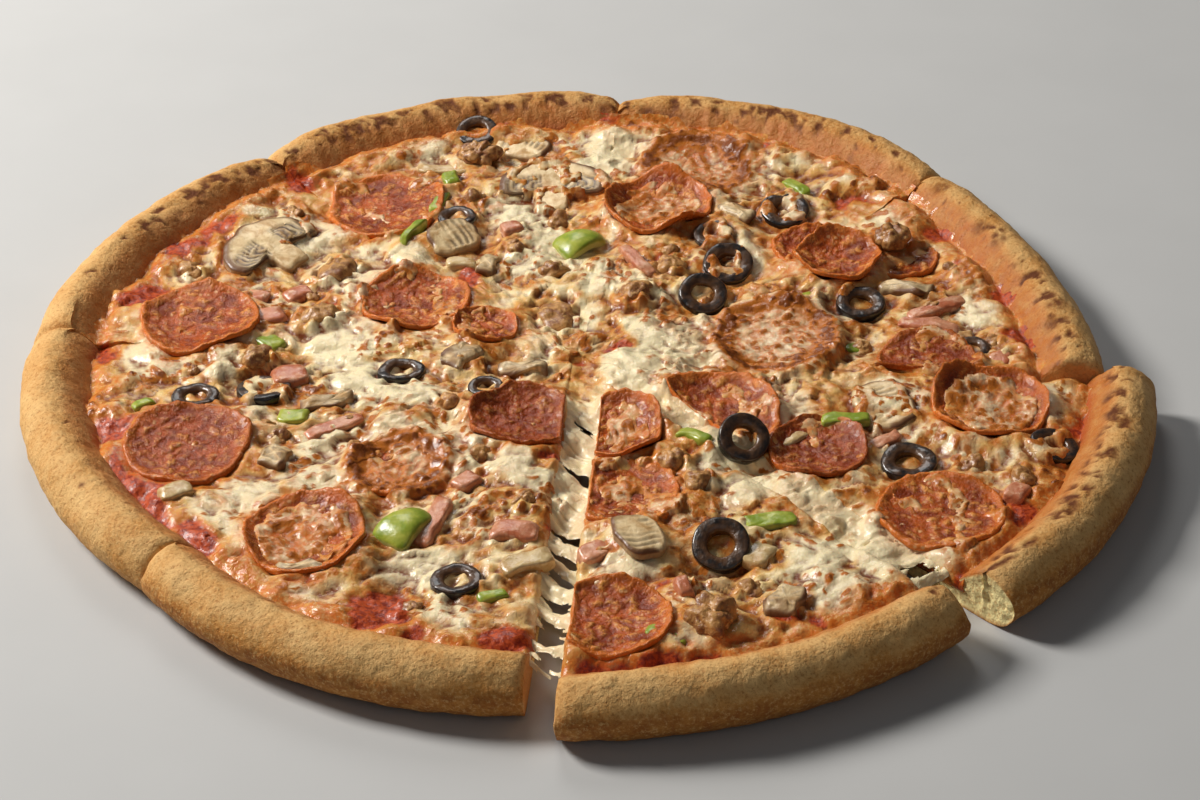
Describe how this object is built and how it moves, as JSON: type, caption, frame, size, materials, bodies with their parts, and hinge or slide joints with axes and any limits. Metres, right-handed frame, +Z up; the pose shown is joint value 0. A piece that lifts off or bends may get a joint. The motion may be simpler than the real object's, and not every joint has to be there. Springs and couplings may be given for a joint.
{
  "type": "pizza",
  "caption": "Round cut pizza with a thick golden rim, melted cheese, pepperoni, sausage, ham, olives, mushrooms and green pepper; two slices are drawn a little way out.",
  "frame": {"origin": "middle of the pizza's box, on the surface that it rests on", "axes": "+Z up through the pizza, -Y toward the side where the two slices are drawn out, +X to the right of it"},
  "size_m": [0.3727, 0.366, 0.0247],
  "materials": {
    "crust": "baked dough, matte outside and glazed toward the cheese",
    "cheese": "melted cheese, soft gloss, with browned spots",
    "sauce": "tomato sauce, wet",
    "pepperoni": "cured meat, oily sheen",
    "olive": "ripe olive, glossy",
    "mushroom": "baked mushroom, satin",
    "pepper": "green bell pepper, wet",
    "sausage": "crumbled sausage meat, satin",
    "ham": "cooked ham, moist",
    "onion": "soft onion, translucent"
  },
  "bodies": {
    "root": {"crust_a": "crust", "crust_b": "crust", "crust_c": "crust", "crust_d": "crust", "crust_e": "crust", "crust_f": "crust", "crust_g": "crust", "crust_h": "crust", "cheese_a": "cheese", "cheese_b": "cheese", "cheese_c": "cheese", "cheese_d": "cheese", "cheese_e": "cheese", "cheese_f": "cheese", "cheese_g": "cheese", "cheese_h": "cheese", "pepperoni_01": "pepperoni", "pepperoni_02": "pepperoni", "pepperoni_03": "pepperoni", "pepperoni_04": "pepperoni", "pepperoni_05": "pepperoni", "pepperoni_06": "pepperoni", "pepperoni_07": "pepperoni", "pepperoni_08": "pepperoni", "pepperoni_09": "pepperoni", "pepperoni_10": "pepperoni", "pepperoni_11": "pepperoni", "pepperoni_12": "pepperoni", "pepperoni_13": "pepperoni", "pepperoni_14": "pepperoni", "pepperoni_15": "pepperoni", "pepperoni_16": "pepperoni", "pepperoni_17": "pepperoni", "pepperoni_18": "pepperoni", "pepperoni_19": "pepperoni", "pepperoni_20": "pepperoni", "pepperoni_21": "pepperoni", "pepperoni_22": "pepperoni", "mushroom_01": "mushroom", "mushroom_02": "mushroom", "mushroom_03": "mushroom", "mushroom_04": "mushroom", "mushroom_05": "mushroom", "mushroom_06": "mushroom", "sausage_01": "sausage", "sausage_02": "sausage", "sausage_03": "sausage", "pepper_01": "pepper", "pepper_02": "pepper", "olive_01": "olive", "olive_02": "olive", "olive_03": "olive", "olive_04": "olive", "olive_05": "olive", "olive_06": "olive", "olive_07": "olive", "olive_08": "olive", "olive_09": "olive", "olive_10": "olive", "olive_11": "olive"}
  },
  "joints": []
}
